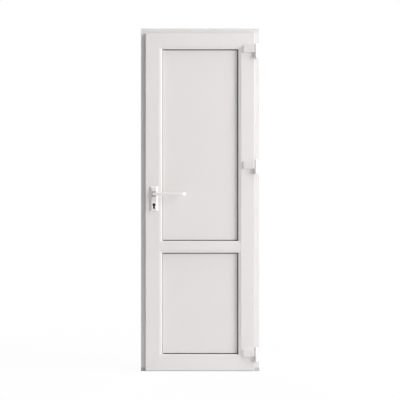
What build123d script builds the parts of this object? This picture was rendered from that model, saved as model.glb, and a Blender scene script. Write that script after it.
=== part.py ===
from build123d import *
import os

# A white uPVC door: a three-sided frame on a metal threshold, and one hinged leaf with two flat panels.
# Millimetres, +Z up. The leaf opens towards -Y, its hinges are at +X and its lever is at -X.
# The origin is on the threshold's underside, midway across the frame's width and depth.

# Overall frame
FRAME_WIDTH = 684
FRAME_HEIGHT = 1980
FRAME_DEPTH = 60
FRAME_FACE = 28
FRAME_EDGE_ROUND = 1.5

# Leaf profile
LEAF_DEPTH = 60
LEAF_STEP = 20
LEAF_FACE = 79
LEAF_OVERLAP = 8
LEAF_FLOOR_GAP = 5
LEAF_EDGE_ROUND = 2
LEAF_INNER_ROUND = 1
CHAMBER_GAP = 12
GROOVE_WIDTH = 16
GROOVE_DEPTH = 9
GROOVE_INSET = 17

# Middle rail
MID_RAIL_FACE = 40
MID_RAIL_HEIGHT = 718

# Panels and what holds them
PANEL_THICKNESS = 28
PANEL_EDGE_GAP = 5
REAR_LIP = 9
REAR_LIP_ROUND = 2
BEAD_FACE = 15
BEAD_SLOPE = 12
BEAD_RECESS = 0.6
BEAD_EDGE_ROUND = 0.8
BEAD_NOSE_ROUND = 2
GASKET_SEAT = 10
GASKET_SHOWING = 4.5
FRONT_GASKET = 3.5
REAR_GASKET = 3

# Lip seals between leaf and frame
SEAL_GAP = 5
SEAL_CLEARANCE = 0.5
SEAL_INSET = 4.5
SEAL_ROOT = 3
SEAL_ROOT_DEPTH = 3
SEAL_LIP = 5.4
SEAL_ROUND = 1.2

# Threshold
THRESHOLD_HEIGHT = 20
THRESHOLD_WALL = 2
THRESHOLD_ROUND = 1.5
TREAD_GROOVES = 5
TREAD_SPACING = 6
TREAD_WIDTH = 2.5
TREAD_DEPTH = 0.8

# Fixing holes in the jambs
FIXING_RADIUS = 5
FIXING_HEIGHTS = (240, 1740)

# Hinges
TOP_HINGE_INSET = 95
BOTTOM_HINGE_INSET = 102
MIDDLE_HINGE_HEIGHT = 1189
BARREL_RADIUS = 9
PIN_RADIUS = 5
PIN_SIDE_OFFSET = 9
PIN_FRONT_OFFSET = 11
PIN_CLEARANCE = 0.06
BEARING_GAP = 0.5
BARREL_CAP = 4
FLAG_LENGTH = 74
FLAG_HEIGHT = 39
FLAG_THICKNESS = 14
FLAG_BEVEL_LENGTH = 11
FLAG_END_THICKNESS = 4
FLAG_CHAMFER = 1.5
BARREL_CHAMFER = 1.5
UPPER_KNUCKLE = 51
LOWER_KNUCKLE = 28
HINGE_BASE_THICKNESS = 5
HINGE_BASE_WIDTH = 21
HINGE_ARM_WIDTH = 11
HINGE_ARM_INSET = 3

# Lever handles
LEVER_INSET = 48.5
LEVER_HEIGHT = 1023
LEVER_REACH = 184
LEVER_STANDOFF = 40
LEVER_THICKNESS = 12
LEVER_DEPTH = 18
LEVER_CHAMFER = 3.5
NECK_RADIUS = 8
TIP_BEND = 18
TIP_RETURN = 7
END_CHAMFER = 3.5
TIP_CHAMFER = 2
JOURNAL_RADIUS = 9.5
JOURNAL_CLEARANCE = 0.08
JOURNAL_SETBACK = 1
COLLAR_RADIUS = 14
COLLAR_HEIGHT = 2.5
RING_RADIUS = 12.5
RING_DEPTH = 4
SPINDLE_SIZE = 8
SPINDLE_SOCKET = 16
SPINDLE_HOLE_RADIUS = 8

# Handle plates
FRONT_PLATE_WIDTH = 47
FRONT_PLATE_BEVEL = 10
REAR_PLATE_WIDTH = 28
REAR_PLATE_BEVEL = 4
PLATE_ABOVE_LEVER = 45
PLATE_BELOW_LEVER = 100
PLATE_THICKNESS = 9
PLATE_EDGE = 2.5
PLATE_CORNER = 1.5

# Lock
CYLINDER_DROP = 62
CYLINDER_RADIUS = 8.5
CYLINDER_LEG = 10
CYLINDER_HEIGHT = 33
CYLINDER_SINK = 0.5
CYLINDER_CLEARANCE = 0.3
KEYWAY_WIDTH = 1.6
KEYWAY_HEIGHT = 9
KEYWAY_DEPTH = 4
FACEPLATE_LENGTH = 240
FACEPLATE_THICKNESS = 3
LATCH_HEIGHT = 20
LATCH_THICKNESS = 12
LATCH_PROUD = 2.5
LATCH_BEVEL = 4
LATCH_CLEARANCE = 0.3
STRIKE_WIDTH = 22
STRIKE_LENGTH = 200
STRIKE_THICKNESS = 2
STRIKE_ROUND = 4
STRIKE_POCKET = 12
POCKET_MARGIN = 3

# Planes and edges worked out from the sizes above
FRAME_LEFT = -FRAME_WIDTH / 2
FRAME_RIGHT = FRAME_WIDTH / 2
FRAME_FRONT = -FRAME_DEPTH / 2
FRAME_BACK = FRAME_DEPTH / 2
LEAF_LEFT = FRAME_LEFT + FRAME_FACE
LEAF_RIGHT = FRAME_RIGHT - FRAME_FACE
LEAF_TOP = FRAME_HEIGHT - FRAME_FACE
LEAF_BOTTOM = LEAF_FLOOR_GAP
LEAF_FRONT = FRAME_FRONT - LEAF_STEP
LEAF_BACK = LEAF_FRONT + LEAF_DEPTH
LEAF_FLANGE = LEAF_STEP - SEAL_GAP
LEAF_EDGE = LEAF_OVERLAP + CHAMBER_GAP
REBATE_WALL = FRAME_FACE + LEAF_OVERLAP
FRAME_FLANGE_EDGE = FRAME_FACE + LEAF_EDGE + LEAF_OVERLAP
FRAME_FLANGE_FRONT = LEAF_BACK + SEAL_GAP - FRAME_FRONT
REAR_LIP_FRONT = LEAF_DEPTH - REAR_LIP
PANEL_BACK = REAR_LIP_FRONT - REAR_GASKET
PANEL_FRONT = PANEL_BACK - PANEL_THICKNESS
BEAD_BACK = PANEL_FRONT - FRONT_GASKET
SEAL_HEIGHT = SEAL_GAP - SEAL_CLEARANCE
GROOVE_MIDDLE = LEAF_DEPTH - GROOVE_INSET - GROOVE_WIDTH / 2
LOCK_DEPTH = LEAF_FRONT + GROOVE_MIDDLE
PIN_X = LEAF_RIGHT + PIN_SIDE_OFFSET
PIN_Y = LEAF_FRONT - PIN_FRONT_OFFSET
LEVER_X = LEAF_LEFT + LEVER_INSET
CYLINDER_Z = LEVER_HEIGHT - CYLINDER_DROP
LATCH_Z = LEVER_HEIGHT
LEAF_EDGE_X = LEAF_LEFT + LEAF_EDGE
STRIKE_X = FRAME_LEFT + REBATE_WALL


def fill_outline(points, rounds):
    """Fill a closed outline in the current sketch, with one corner radius for each point."""
    with BuildLine() as outline:
        FilletPolyline(*points, radius=rounds, close=True)
    make_face(outline.edges())


def loop_runs(left, right, bottom, top, front):
    """Start, end and inward direction of the four straight runs round an upright rectangle."""
    low_left = Vector(left, front, bottom)
    high_left = Vector(left, front, top)
    high_right = Vector(right, front, top)
    low_right = Vector(right, front, bottom)
    return {
        "left": (low_left, high_left, Vector(1, 0, 0)),
        "top": (high_left, high_right, Vector(0, 0, -1)),
        "right": (high_right, low_right, Vector(-1, 0, 0)),
        "bottom": (low_right, low_left, Vector(0, 0, 1)),
    }


def profile_run(outline, rounds, run, mitre_start=True, mitre_end=True):
    """Extrude a profile along one run and cut its mitred ends at 45 degrees."""
    start, end, inward = run
    along = (end - start).normalized()
    with BuildPart() as length:
        with BuildSketch(Plane(start, x_dir=inward, z_dir=along)):
            fill_outline(outline, rounds)
        extrude(amount=(end - start).length)
        if mitre_start:
            split(bisect_by=Plane(start, z_dir=along - inward))
        if mitre_end:
            split(bisect_by=Plane(end, z_dir=-along - inward))
    return length.part


def joined_runs(runs):
    """Join runs that meet at their mitres into one loop."""
    with BuildPart() as loop:
        add(runs)
    return loop.part


def save(piece, node):
    """Label a finished piece and write it under its node's name."""
    piece.label = node
    export_step(piece, f"parts/{node}.step")


def groove_notch(middle, floor, mouth, width):
    """Corner points of a groove that is cut back from mouth to floor."""
    return [
        (middle - width / 2, mouth),
        (middle - width / 2, floor),
        (middle + width / 2, floor),
        (middle + width / 2, mouth),
    ]


# Frame: an L-shaped profile whose rear flange laps behind the leaf
FRAME_SEAL_MIDDLE = FRAME_FLANGE_EDGE - SEAL_INSET
FRAME_OUTLINE = [
    (0, 0),
    (REBATE_WALL, 0),
    (REBATE_WALL, FRAME_FLANGE_FRONT),
    *groove_notch(FRAME_SEAL_MIDDLE, FRAME_FLANGE_FRONT + SEAL_ROOT_DEPTH, FRAME_FLANGE_FRONT, SEAL_ROOT),
    (FRAME_FLANGE_EDGE, FRAME_FLANGE_FRONT),
    (FRAME_FLANGE_EDGE, FRAME_DEPTH),
    (0, FRAME_DEPTH),
]
FRAME_ROUNDS = [FRAME_EDGE_ROUND, FRAME_EDGE_ROUND, 0, 0, 0, 0, 0, FRAME_EDGE_ROUND, FRAME_EDGE_ROUND,
                FRAME_EDGE_ROUND]
FRAME_RUNS = loop_runs(FRAME_LEFT, FRAME_RIGHT, THRESHOLD_HEIGHT, FRAME_HEIGHT, FRAME_FRONT)
REBATE_MIDDLE = FRAME_FRONT + FRAME_FLANGE_FRONT / 2
BOLT_Z = CYLINDER_Z

lock_jamb_bar = profile_run(FRAME_OUTLINE, FRAME_ROUNDS, FRAME_RUNS["left"], mitre_start=False)
with BuildPart() as frame_lock_jamb:
    add(lock_jamb_bar)
    with BuildSketch(Plane.YZ.offset(FRAME_LEFT)):
        with Locations(*[(REBATE_MIDDLE, height) for height in FIXING_HEIGHTS]):
            Circle(FIXING_RADIUS)
    extrude(amount=REBATE_WALL, mode=Mode.SUBTRACT)
    with BuildSketch(Plane.YZ.offset(STRIKE_X)):
        with Locations((LOCK_DEPTH, LATCH_Z), (LOCK_DEPTH, BOLT_Z)):
            Rectangle(LATCH_THICKNESS + POCKET_MARGIN, LATCH_HEIGHT + POCKET_MARGIN)
    extrude(amount=-STRIKE_POCKET, mode=Mode.SUBTRACT)
save(frame_lock_jamb.part, "frame_lock_jamb")

hinge_jamb_bar = profile_run(FRAME_OUTLINE, FRAME_ROUNDS, FRAME_RUNS["right"], mitre_end=False)
with BuildPart() as frame_hinge_jamb:
    add(hinge_jamb_bar)
    with BuildSketch(Plane.YZ.offset(FRAME_RIGHT)):
        with Locations(*[(REBATE_MIDDLE, height) for height in FIXING_HEIGHTS]):
            Circle(FIXING_RADIUS)
    extrude(amount=-REBATE_WALL, mode=Mode.SUBTRACT)
save(frame_hinge_jamb.part, "frame_hinge_jamb")

save(profile_run(FRAME_OUTLINE, FRAME_ROUNDS, FRAME_RUNS["top"]), "frame_head")

# Threshold: a hollow metal bar in two chambers, with shallow grooves in its tread
CHAMBER_WIDTH = (FRAME_DEPTH - 3 * THRESHOLD_WALL) / 2
CHAMBER_HEIGHT = THRESHOLD_HEIGHT - 2 * THRESHOLD_WALL
CHAMBER_MIDDLE = (CHAMBER_WIDTH + THRESHOLD_WALL) / 2

with BuildPart() as threshold:
    with BuildSketch(Plane((FRAME_LEFT, 0, 0), x_dir=(0, 1, 0), z_dir=(1, 0, 0))):
        fill_outline(
            [
                (FRAME_FRONT, 0),
                (FRAME_FRONT, THRESHOLD_HEIGHT),
                (FRAME_BACK, THRESHOLD_HEIGHT),
                (FRAME_BACK, 0),
            ],
            [0, THRESHOLD_ROUND, THRESHOLD_ROUND, 0],
        )
        with Locations((-CHAMBER_MIDDLE, THRESHOLD_HEIGHT / 2), (CHAMBER_MIDDLE, THRESHOLD_HEIGHT / 2)):
            Rectangle(CHAMBER_WIDTH, CHAMBER_HEIGHT, mode=Mode.SUBTRACT)
    extrude(amount=FRAME_WIDTH)
    with BuildSketch(Plane.XY.offset(THRESHOLD_HEIGHT)):
        with Locations((0, REBATE_MIDDLE)):
            with GridLocations(0, TREAD_SPACING, 1, TREAD_GROOVES):
                Rectangle(FRAME_WIDTH - 2 * FRAME_FLANGE_EDGE, TREAD_WIDTH)
    extrude(amount=-TREAD_DEPTH, mode=Mode.SUBTRACT)
save(threshold.part, "threshold")


def lip_seal(middle, seat, outward):
    """Outline of a seal with its root in a groove and a rounded lip; outward is 1 or -1 along depth."""
    root = seat - outward * SEAL_ROOT_DEPTH
    tip = seat + outward * SEAL_HEIGHT
    points = [
        (middle - SEAL_ROOT / 2, root),
        (middle + SEAL_ROOT / 2, root),
        (middle + SEAL_ROOT / 2, seat),
        (middle + SEAL_LIP / 2, seat),
        (middle, tip),
        (middle - SEAL_LIP / 2, tip),
        (middle - SEAL_LIP / 2, seat),
        (middle - SEAL_ROOT / 2, seat),
    ]
    return points, [0, 0, 0, 0, SEAL_ROUND, SEAL_ROUND, 0, 0]


FRAME_SEAL_OUTLINE, SEAL_ROUNDS = lip_seal(FRAME_SEAL_MIDDLE, FRAME_FLANGE_FRONT, -1)
frame_seal_runs = [
    profile_run(FRAME_SEAL_OUTLINE, SEAL_ROUNDS, FRAME_RUNS["left"], mitre_start=False),
    profile_run(FRAME_SEAL_OUTLINE, SEAL_ROUNDS, FRAME_RUNS["top"]),
    profile_run(FRAME_SEAL_OUTLINE, SEAL_ROUNDS, FRAME_RUNS["right"], mitre_end=False),
]
save(joined_runs(frame_seal_runs), "frame_seal")

# Leaf: a Z-shaped profile with a front flange, a hardware groove in its edge and a rear glazing lip
LEAF_SEAL_MIDDLE = SEAL_INSET
GROOVE_NEAR = GROOVE_MIDDLE - GROOVE_WIDTH / 2
GROOVE_FAR = GROOVE_MIDDLE + GROOVE_WIDTH / 2
LEAF_OUTLINE = [
    (0, 0),
    (LEAF_FACE, 0),
    (LEAF_FACE, REAR_LIP_FRONT),
    (LEAF_FACE + BEAD_FACE, REAR_LIP_FRONT),
    (LEAF_FACE + BEAD_FACE, LEAF_DEPTH),
    (LEAF_EDGE, LEAF_DEPTH),
    (LEAF_EDGE, GROOVE_FAR),
    (LEAF_EDGE + GROOVE_DEPTH, GROOVE_FAR),
    (LEAF_EDGE + GROOVE_DEPTH, GROOVE_NEAR),
    (LEAF_EDGE, GROOVE_NEAR),
    (LEAF_EDGE, LEAF_FLANGE),
    *reversed(groove_notch(LEAF_SEAL_MIDDLE, LEAF_FLANGE - SEAL_ROOT_DEPTH, LEAF_FLANGE, SEAL_ROOT)),
    (0, LEAF_FLANGE),
]
LEAF_ROUNDS = [LEAF_EDGE_ROUND, LEAF_INNER_ROUND, 0, 0, REAR_LIP_ROUND, REAR_LIP_ROUND, 0, 0, 0, 0, 0, 0, 0,
               0, 0, LEAF_INNER_ROUND]
LEAF_RUNS = loop_runs(LEAF_LEFT, LEAF_RIGHT, LEAF_BOTTOM, LEAF_TOP, LEAF_FRONT)


def cylinder_outline(clearance=0):
    """The lock cylinder's round head with its straight leg below, round at the foot."""
    leg = CYLINDER_LEG / 2 + clearance
    foot = CYLINDER_HEIGHT - CYLINDER_RADIUS - CYLINDER_LEG / 2
    with Locations((LEVER_X, CYLINDER_Z)):
        Circle(CYLINDER_RADIUS + clearance)
    with Locations((LEVER_X, CYLINDER_Z - foot / 2)):
        Rectangle(2 * leg, foot)
    with Locations((LEVER_X, CYLINDER_Z - foot)):
        Circle(leg)


def facing_front(depth):
    """An upright plane at this depth, seen from the front: x to the right, y up, normal to -Y."""
    return Plane((0, depth, 0), x_dir=(1, 0, 0), z_dir=(0, -1, 0))


lock_stile_bar = profile_run(LEAF_OUTLINE, LEAF_ROUNDS, LEAF_RUNS["left"])
with BuildPart() as leaf_lock_stile:
    add(lock_stile_bar)
    with BuildSketch(facing_front(LEAF_BACK)):
        with Locations((LEVER_X, LEVER_HEIGHT)):
            Circle(SPINDLE_HOLE_RADIUS)
        cylinder_outline(CYLINDER_CLEARANCE)
    extrude(amount=LEAF_DEPTH, mode=Mode.SUBTRACT)
save(leaf_lock_stile.part, "leaf_lock_stile")

save(profile_run(LEAF_OUTLINE, LEAF_ROUNDS, LEAF_RUNS["right"]), "leaf_hinge_stile")
save(profile_run(LEAF_OUTLINE, LEAF_ROUNDS, LEAF_RUNS["top"]), "leaf_top_rail")
save(profile_run(LEAF_OUTLINE, LEAF_ROUNDS, LEAF_RUNS["bottom"]), "leaf_bottom_rail")

# Middle rail: a T profile between the stiles
REBATE_LEFT = LEAF_LEFT + LEAF_FACE
REBATE_RIGHT = LEAF_RIGHT - LEAF_FACE
RAIL_LIP = MID_RAIL_FACE / 2 + BEAD_FACE

with BuildPart() as leaf_mid_rail:
    with BuildSketch(Plane((REBATE_LEFT, LEAF_FRONT, MID_RAIL_HEIGHT), x_dir=(0, 0, -1), z_dir=(1, 0, 0))):
        fill_outline(
            [
                (-MID_RAIL_FACE / 2, 0),
                (MID_RAIL_FACE / 2, 0),
                (MID_RAIL_FACE / 2, REAR_LIP_FRONT),
                (-MID_RAIL_FACE / 2, REAR_LIP_FRONT),
            ],
            [LEAF_INNER_ROUND, LEAF_INNER_ROUND, 0, 0],
        )
    extrude(amount=REBATE_RIGHT - REBATE_LEFT)
    lip_start = (REBATE_LEFT + BEAD_FACE, LEAF_FRONT, MID_RAIL_HEIGHT)
    with BuildSketch(Plane(lip_start, x_dir=(0, 0, -1), z_dir=(1, 0, 0))):
        fill_outline(
            [
                (-RAIL_LIP, REAR_LIP_FRONT),
                (RAIL_LIP, REAR_LIP_FRONT),
                (RAIL_LIP, LEAF_DEPTH),
                (-RAIL_LIP, LEAF_DEPTH),
            ],
            [0, 0, REAR_LIP_ROUND, REAR_LIP_ROUND],
        )
    extrude(amount=REBATE_RIGHT - REBATE_LEFT - 2 * BEAD_FACE)
save(leaf_mid_rail.part, "leaf_mid_rail")

LEAF_SEAL_OUTLINE, SEAL_ROUNDS = lip_seal(LEAF_SEAL_MIDDLE, LEAF_FLANGE, 1)
leaf_seal_runs = [profile_run(LEAF_SEAL_OUTLINE, SEAL_ROUNDS, run) for run in LEAF_RUNS.values()]
save(joined_runs(leaf_seal_runs), "leaf_seal")

# Panels, each held by a rear gasket, a front gasket and four mitred beads
BEAD_OUTLINE = [(0, BEAD_RECESS), (BEAD_FACE, BEAD_SLOPE), (BEAD_FACE, BEAD_BACK), (0, BEAD_BACK)]
BEAD_ROUNDS = [BEAD_EDGE_ROUND, BEAD_NOSE_ROUND, 0, 0]
GASKET_ROOT = BEAD_FACE - GASKET_SEAT
GASKET_TIP = BEAD_FACE + GASKET_SHOWING
FRONT_GASKET_OUTLINE = [
    (GASKET_ROOT, BEAD_BACK),
    (BEAD_FACE, BEAD_BACK),
    (GASKET_TIP, (BEAD_BACK + PANEL_FRONT) / 2),
    (GASKET_TIP, PANEL_FRONT),
    (GASKET_ROOT, PANEL_FRONT),
]
REAR_GASKET_OUTLINE = [
    (GASKET_ROOT, PANEL_BACK),
    (GASKET_TIP, PANEL_BACK),
    (GASKET_TIP, (PANEL_BACK + REAR_LIP_FRONT) / 2),
    (BEAD_FACE, REAR_LIP_FRONT),
    (GASKET_ROOT, REAR_LIP_FRONT),
]
GASKET_ROUNDS = [0] * len(FRONT_GASKET_OUTLINE)
REBATE_HEIGHTS = {
    "upper": (MID_RAIL_HEIGHT + MID_RAIL_FACE / 2, LEAF_TOP - LEAF_FACE),
    "lower": (LEAF_BOTTOM + LEAF_FACE, MID_RAIL_HEIGHT - MID_RAIL_FACE / 2),
}

for place, (rebate_bottom, rebate_top) in REBATE_HEIGHTS.items():
    runs = loop_runs(REBATE_LEFT, REBATE_RIGHT, rebate_bottom, rebate_top, LEAF_FRONT)
    for side, run in runs.items():
        save(profile_run(BEAD_OUTLINE, BEAD_ROUNDS, run), f"{place}_bead_{side}")
    for face, outline in {"front": FRONT_GASKET_OUTLINE, "rear": REAR_GASKET_OUTLINE}.items():
        gasket_runs = [profile_run(outline, GASKET_ROUNDS, run) for run in runs.values()]
        save(joined_runs(gasket_runs), f"{place}_panel_{face}_gasket")
    with BuildPart() as panel:
        with BuildSketch(facing_front(LEAF_FRONT + PANEL_BACK)):
            with Locations(((REBATE_LEFT + REBATE_RIGHT) / 2, (rebate_bottom + rebate_top) / 2)):
                Rectangle(
                    REBATE_RIGHT - REBATE_LEFT - 2 * PANEL_EDGE_GAP,
                    rebate_top - rebate_bottom - 2 * PANEL_EDGE_GAP,
                )
        extrude(amount=PANEL_THICKNESS)
    save(panel.part, f"{place}_panel")

# Hinges: a flag with the upper knuckle on the leaf, a base with the lower knuckle on the frame, and a pin
PIN_AXIS = (PIN_X, PIN_Y)
FLAG_FRONT = LEAF_FRONT - FLAG_THICKNESS
FLAG_LEFT = LEAF_RIGHT - FLAG_LENGTH
BASE_LEFT = PIN_X - HINGE_ARM_INSET
BASE_FRONT = FRAME_FRONT - HINGE_BASE_THICKNESS
BORE_RADIUS = PIN_RADIUS + PIN_CLEARANCE
HINGE_HEIGHTS = {
    "top": LEAF_TOP - TOP_HINGE_INSET,
    "middle": MIDDLE_HINGE_HEIGHT,
    "bottom": LEAF_BOTTOM + BOTTOM_HINGE_INSET,
}


def hinge_flag(bottom):
    """The leaf's half: a flag with a bevelled end, and a taller knuckle that is bored from below."""
    with BuildPart() as flag:
        with BuildSketch(Plane.XY.offset(bottom)):
            fill_outline(
                [
                    (FLAG_LEFT, LEAF_FRONT),
                    (FLAG_LEFT, LEAF_FRONT - FLAG_END_THICKNESS),
                    (FLAG_LEFT + FLAG_BEVEL_LENGTH, FLAG_FRONT),
                    (PIN_X, FLAG_FRONT),
                    (PIN_X, PIN_Y + PIN_RADIUS),
                    (LEAF_RIGHT, LEAF_FRONT),
                ],
                [0] * 6,
            )
        extrude(amount=FLAG_HEIGHT)
        chamfer(flag.edges().group_by(Axis.Y)[0], FLAG_CHAMFER)
        with BuildSketch(Plane.XY.offset(bottom)):
            with Locations(PIN_AXIS):
                Circle(BARREL_RADIUS)
        extrude(amount=UPPER_KNUCKLE)
        with BuildSketch(Plane.XY.offset(bottom)):
            with Locations(PIN_AXIS):
                Circle(BORE_RADIUS)
        extrude(amount=UPPER_KNUCKLE - BARREL_CAP, mode=Mode.SUBTRACT)
        chamfer(flag.faces().sort_by(Axis.Z)[-1].outer_wire().edges(), BARREL_CHAMFER)
    return flag.part


def hinge_base(bottom):
    """The frame's half: a base plate, and an arm to the lower knuckle that is bored from above."""
    low = bottom - LOWER_KNUCKLE
    with BuildPart() as base:
        with BuildSketch(Plane.XY.offset(low)):
            with Locations((BASE_LEFT, BASE_FRONT)):
                Rectangle(HINGE_BASE_WIDTH, HINGE_BASE_THICKNESS, align=Align.MIN)
        extrude(amount=LOWER_KNUCKLE + UPPER_KNUCKLE)
        with BuildSketch(Plane.XY.offset(low)):
            with Locations((BASE_LEFT, PIN_Y)):
                Rectangle(HINGE_ARM_WIDTH, BASE_FRONT - PIN_Y, align=Align.MIN)
            with Locations(PIN_AXIS):
                Circle(BARREL_RADIUS)
        extrude(amount=LOWER_KNUCKLE - BEARING_GAP)
        with BuildSketch(Plane.XY.offset(low + BARREL_CAP)):
            with Locations(PIN_AXIS):
                Circle(BORE_RADIUS)
        extrude(amount=LOWER_KNUCKLE, mode=Mode.SUBTRACT)
    return base.part


def hinge_pin(bottom):
    """A plain pin that stands on the floor of the lower knuckle's bore."""
    with BuildPart() as pin:
        with BuildSketch(Plane.XY.offset(bottom - LOWER_KNUCKLE + BARREL_CAP)):
            with Locations(PIN_AXIS):
                Circle(PIN_RADIUS)
        extrude(amount=LOWER_KNUCKLE + UPPER_KNUCKLE - 2 * BARREL_CAP - BEARING_GAP)
    return pin.part


for place, height in HINGE_HEIGHTS.items():
    flag_bottom = height - FLAG_HEIGHT / 2
    save(hinge_flag(flag_bottom), f"hinge_flag_{place}")
    save(hinge_base(flag_bottom), f"hinge_base_{place}")
    save(hinge_pin(flag_bottom), f"hinge_pin_{place}")


def outward_plane(face, outward, distance=0):
    """An upright plane at a distance out from a leaf face; outward is -1 at the front and 1 at the rear."""
    return Plane((0, face + outward * distance, 0), x_dir=(1, 0, 0), z_dir=(0, outward, 0))


def handle_plate(face, outward, width, bevel):
    """A bevelled plate with a collar sunk round the lever's neck, and a cut-out for the cylinder."""
    middle = LEVER_HEIGHT + (PLATE_ABOVE_LEVER - PLATE_BELOW_LEVER) / 2
    height = PLATE_ABOVE_LEVER + PLATE_BELOW_LEVER
    up = -outward
    with BuildPart() as plate:
        for level, inset in ((0, 0), (PLATE_EDGE, 0), (PLATE_THICKNESS, bevel)):
            with BuildSketch(outward_plane(face, outward, level)) as outline:
                with Locations((LEVER_X, up * middle)):
                    Rectangle(width - 2 * inset, height - 2 * inset)
                chamfer(outline.vertices(), PLATE_CORNER)
        loft(ruled=True)
        with BuildSketch(outward_plane(face, outward)):
            with Locations((LEVER_X, up * LEVER_HEIGHT)):
                Circle(COLLAR_RADIUS)
        extrude(amount=PLATE_THICKNESS + COLLAR_HEIGHT)
        with BuildSketch(outward_plane(face, outward)):
            with Locations((LEVER_X, up * LEVER_HEIGHT)):
                Circle(JOURNAL_RADIUS + JOURNAL_CLEARANCE)
        extrude(amount=PLATE_THICKNESS + COLLAR_HEIGHT, mode=Mode.SUBTRACT)
        with BuildSketch(outward_plane(face, outward, PLATE_THICKNESS + COLLAR_HEIGHT)):
            with Locations((LEVER_X, up * LEVER_HEIGHT)):
                Circle(RING_RADIUS)
        extrude(amount=-RING_DEPTH, mode=Mode.SUBTRACT)
        with BuildSketch(facing_front(face)):
            cylinder_outline(CYLINDER_CLEARANCE)
        extrude(amount=-outward * PLATE_THICKNESS, mode=Mode.SUBTRACT)
    return plate.part


def lever(face, outward):
    """A bar on a round neck, flat at its heel and turned back towards the leaf at its tip."""
    root = face + outward * JOURNAL_SETBACK
    bar = face + outward * LEVER_STANDOFF
    heel = LEVER_X - JOURNAL_RADIUS
    tip = LEVER_X + LEVER_REACH - LEVER_THICKNESS / 2
    tip_end = bar - outward * (TIP_BEND + TIP_RETURN)
    root_plane = Plane((LEVER_X, root, LEVER_HEIGHT), x_dir=(1, 0, 0), z_dir=(0, outward, 0))
    with BuildPart() as handle:
        with BuildLine(Plane.XY.offset(LEVER_HEIGHT)) as centre_line:
            FilletPolyline((heel, bar), (tip, bar), (tip, tip_end), radius=TIP_BEND)
        with BuildSketch(Plane((heel, bar, LEVER_HEIGHT), x_dir=(0, 1, 0), z_dir=(1, 0, 0))) as section:
            Rectangle(LEVER_THICKNESS, LEVER_DEPTH)
            chamfer(section.vertices(), LEVER_CHAMFER)
        sweep(path=centre_line.wires()[0])
        for end, cut in (((heel, bar, LEVER_HEIGHT), END_CHAMFER), ((tip, tip_end, LEVER_HEIGHT), TIP_CHAMFER)):
            chamfer(handle.faces().filter_by(GeomType.PLANE).sort_by_distance(end)[0].edges(), cut)
        with BuildSketch(root_plane):
            Circle(NECK_RADIUS)
        extrude(amount=LEVER_STANDOFF - JOURNAL_SETBACK)
        with BuildSketch(root_plane):
            Circle(JOURNAL_RADIUS)
        extrude(amount=PLATE_THICKNESS + COLLAR_HEIGHT - JOURNAL_SETBACK)
        with BuildSketch(root_plane):
            Rectangle(SPINDLE_SIZE, SPINDLE_SIZE)
        extrude(amount=SPINDLE_SOCKET, mode=Mode.SUBTRACT)
    return handle.part


save(handle_plate(LEAF_FRONT, -1, FRONT_PLATE_WIDTH, FRONT_PLATE_BEVEL), "handle_plate_front")
save(handle_plate(LEAF_BACK, 1, REAR_PLATE_WIDTH, REAR_PLATE_BEVEL), "handle_plate_rear")
save(lever(LEAF_FRONT, -1), "lever_front")
save(lever(LEAF_BACK, 1), "lever_rear")

SPINDLE_REACH = JOURNAL_SETBACK + SPINDLE_SOCKET
with BuildPart() as spindle:
    with BuildSketch(facing_front(LEAF_BACK + SPINDLE_REACH)):
        with Locations((LEVER_X, LEVER_HEIGHT)):
            Rectangle(SPINDLE_SIZE, SPINDLE_SIZE)
    extrude(amount=LEAF_DEPTH + 2 * SPINDLE_REACH)
save(spindle.part, "spindle")

# Lock cylinder, ending just under both plates' faces, with a keyway at each end
CYLINDER_REACH = PLATE_THICKNESS - CYLINDER_SINK
with BuildPart() as lock_cylinder:
    with BuildSketch(facing_front(LEAF_BACK + CYLINDER_REACH)):
        cylinder_outline()
    extrude(amount=LEAF_DEPTH + 2 * CYLINDER_REACH)
    for end, inward in ((LEAF_FRONT - CYLINDER_REACH, -1), (LEAF_BACK + CYLINDER_REACH, 1)):
        with BuildSketch(facing_front(end)):
            with Locations((LEVER_X, CYLINDER_Z)):
                Rectangle(KEYWAY_WIDTH, KEYWAY_HEIGHT)
        extrude(amount=inward * KEYWAY_DEPTH, mode=Mode.SUBTRACT)
save(lock_cylinder.part, "lock_cylinder")

# Faceplate in the lock stile's groove, with the latch drawn back behind it
with BuildPart() as lock_faceplate:
    with BuildSketch(Plane.YZ.offset(LEAF_EDGE_X)):
        with Locations((LOCK_DEPTH, (LATCH_Z + BOLT_Z) / 2)):
            Rectangle(GROOVE_WIDTH, FACEPLATE_LENGTH)
        with Locations((LOCK_DEPTH, LATCH_Z)):
            Rectangle(
                LATCH_THICKNESS + 2 * LATCH_CLEARANCE,
                LATCH_HEIGHT + 2 * LATCH_CLEARANCE,
                mode=Mode.SUBTRACT,
            )
    extrude(amount=FACEPLATE_THICKNESS)
save(lock_faceplate.part, "lock_faceplate")

with BuildPart() as latch_bolt:
    with BuildSketch(Plane.XY.offset(LATCH_Z - LATCH_HEIGHT / 2)):
        fill_outline(
            [
                (LEAF_EDGE_X + GROOVE_DEPTH, LOCK_DEPTH - LATCH_THICKNESS / 2),
                (LEAF_EDGE_X + GROOVE_DEPTH, LOCK_DEPTH + LATCH_THICKNESS / 2),
                (LEAF_EDGE_X, LOCK_DEPTH + LATCH_THICKNESS / 2),
                (LEAF_EDGE_X - LATCH_PROUD, LOCK_DEPTH + LATCH_THICKNESS / 2 - LATCH_BEVEL),
                (LEAF_EDGE_X - LATCH_PROUD, LOCK_DEPTH - LATCH_THICKNESS / 2),
            ],
            [0, 0, 0, 0, 0],
        )
    extrude(amount=LATCH_HEIGHT)
save(latch_bolt.part, "latch_bolt")

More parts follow.
